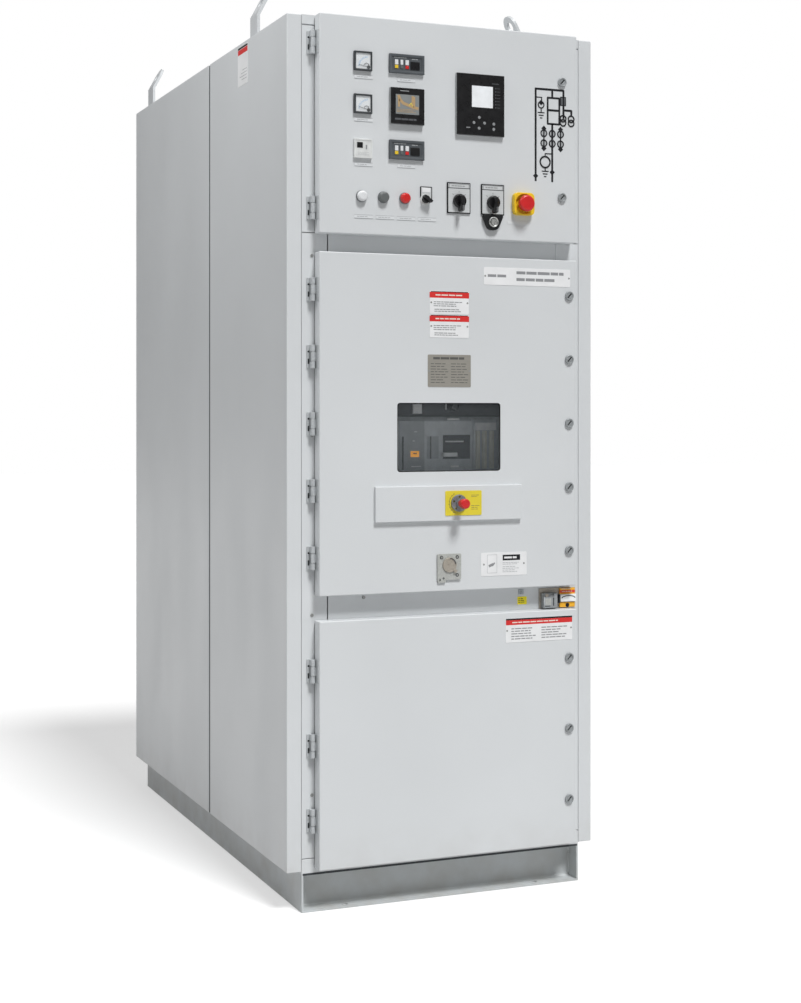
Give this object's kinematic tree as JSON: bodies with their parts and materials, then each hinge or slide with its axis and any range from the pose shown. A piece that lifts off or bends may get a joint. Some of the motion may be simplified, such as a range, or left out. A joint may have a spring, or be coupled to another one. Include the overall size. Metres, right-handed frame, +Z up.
{
  "type": "medium voltage switchgear panel",
  "caption": "Free-standing metal-clad switchgear cabinet with a withdrawable breaker behind a windowed door, instruments on the upper door, channel base and lifting lugs.",
  "frame": {"origin": "on the floor, at the middle of the cabinet footprint between the end covers", "axes": "+Z up, -Y towards the front doors, +X to the right seen from the front"},
  "size_m": [0.881, 1.6955, 2.4438],
  "materials": {
    "cabinet_paint": "light grey powder coat, fine texture, satin",
    "base_paint": "grey paint, satin",
    "lug_paint": "grey paint, satin",
    "zinc_sheet": "aluminium-zinc coated sheet, dull",
    "zinc_casting": "zinc die casting, satin",
    "breaker_grey": "dark grey moulded cover",
    "pole_resin": "brown cast resin",
    "black_plastic": "black moulded plastic, fine grain",
    "module_grey": "dark grey moulded plastic",
    "lamp_bezel": "plated bezels with coloured lenses",
    "switch_plate": "satin plates with black edges",
    "safety_yellow": "yellow moulded plastic",
    "trip_yellow": "yellow enamelled plate with plated disc",
    "safety_red": "red moulded plastic",
    "window_glass": "laminated safety glass",
    "label_white": "engraved and printed plates"
  },
  "bodies": {
    "root": {"base_frame": "base_paint", "floor_plate": "zinc_sheet", "side_frames": "cabinet_paint", "front_rails": "cabinet_paint", "transoms": "cabinet_paint", "end_covers": "cabinet_paint", "lv_compartment": "zinc_sheet", "breaker_shelf": "zinc_sheet", "bulkhead": "zinc_sheet", "rear_covers": "cabinet_paint", "roof": "cabinet_paint", "relief_flaps": "cabinet_paint", "lifting_lugs": "lug_paint", "frame_hinges": "zinc_casting", "earthing_mechanism": "zinc_casting", "small_plates": "label_white"},
    "truck": {"truck_carriage": "zinc_sheet", "breaker_housing": "breaker_grey", "breaker_poles": "pole_resin"},
    "upper_door_body": {"top_door": "cabinet_paint", "top_door_fittings": "zinc_casting", "meters": "black_plastic", "alarm_modules": "module_grey", "power_meter": "black_plastic", "protection_relay": "black_plastic", "lamps": "lamp_bezel", "switch_plates": "switch_plate", "name_strips": "label_white", "stop_collar": "safety_yellow"},
    "middle_door_body": {"middle_door": "cabinet_paint", "middle_door_fittings": "zinc_casting", "window_pane": "window_glass", "raised_channel": "cabinet_paint", "trip_plate": "trip_yellow", "racking_port": "zinc_casting", "middle_door_labels": "label_white"},
    "lower_door_body": {"bottom_door": "cabinet_paint", "bottom_door_fittings": "zinc_casting", "bottom_door_label": "label_white"},
    "cam_1": {"cam_switch_1": "black_plastic"},
    "cam_2": {"cam_switch_2": "black_plastic"},
    "selector": {"selector_switch": "black_plastic"},
    "stop": {"stop_button": "safety_red"},
    "trip": {"trip_button": "safety_red"},
    "cap": {"racking_cap": "zinc_casting"}
  },
  "joints": [
    {"name": "top_door_hinge", "type": "hinge", "parent": "root", "child": "upper_door_body", "pos_m": [-0.374, -0.814, 2.0195], "axis": [0, 0, -1], "range_deg": [0, 120]},
    {"name": "middle_door_hinge", "type": "hinge", "parent": "root", "child": "middle_door_body", "pos_m": [-0.374, -0.814, 1.252], "axis": [0, 0, -1], "range_deg": [0, 120]},
    {"name": "bottom_door_hinge", "type": "hinge", "parent": "root", "child": "lower_door_body", "pos_m": [-0.374, -0.814, 0.4305], "axis": [0, 0, -1], "range_deg": [0, 120]},
    {"name": "truck_slide", "type": "slide", "parent": "root", "child": "truck", "axis": [0, 1, 0], "range_m": [0, 0.2]},
    {"name": "cam_switch_1_turn", "type": "hinge", "parent": "upper_door_body", "child": "cam_1", "pos_m": [0.023, -0.838, 1.837], "axis": [0, 1, 0], "range_deg": [-45, 45]},
    {"name": "cam_switch_2_turn", "type": "hinge", "parent": "upper_door_body", "child": "cam_2", "pos_m": [0.1215, -0.838, 1.837], "axis": [0, 1, 0], "range_deg": [-45, 45]},
    {"name": "selector_turn", "type": "hinge", "parent": "upper_door_body", "child": "selector", "pos_m": [-0.072, -0.838, 1.837], "axis": [0, 1, 0], "range_deg": [-45, 45]},
    {"name": "stop_press", "type": "slide", "parent": "upper_door_body", "child": "stop", "axis": [0, 1, 0], "range_m": [0, 0.006]},
    {"name": "trip_press", "type": "slide", "parent": "middle_door_body", "child": "trip", "axis": [0, 1, 0], "range_m": [0, 0.008], "stiffness_N_per_m": 600},
    {"name": "racking_cap_swing", "type": "hinge", "parent": "middle_door_body", "child": "cap", "pos_m": [0.011, -0.8448, 0.865], "axis": [0, 1, 0], "range_deg": [0, 110]}
  ]
}
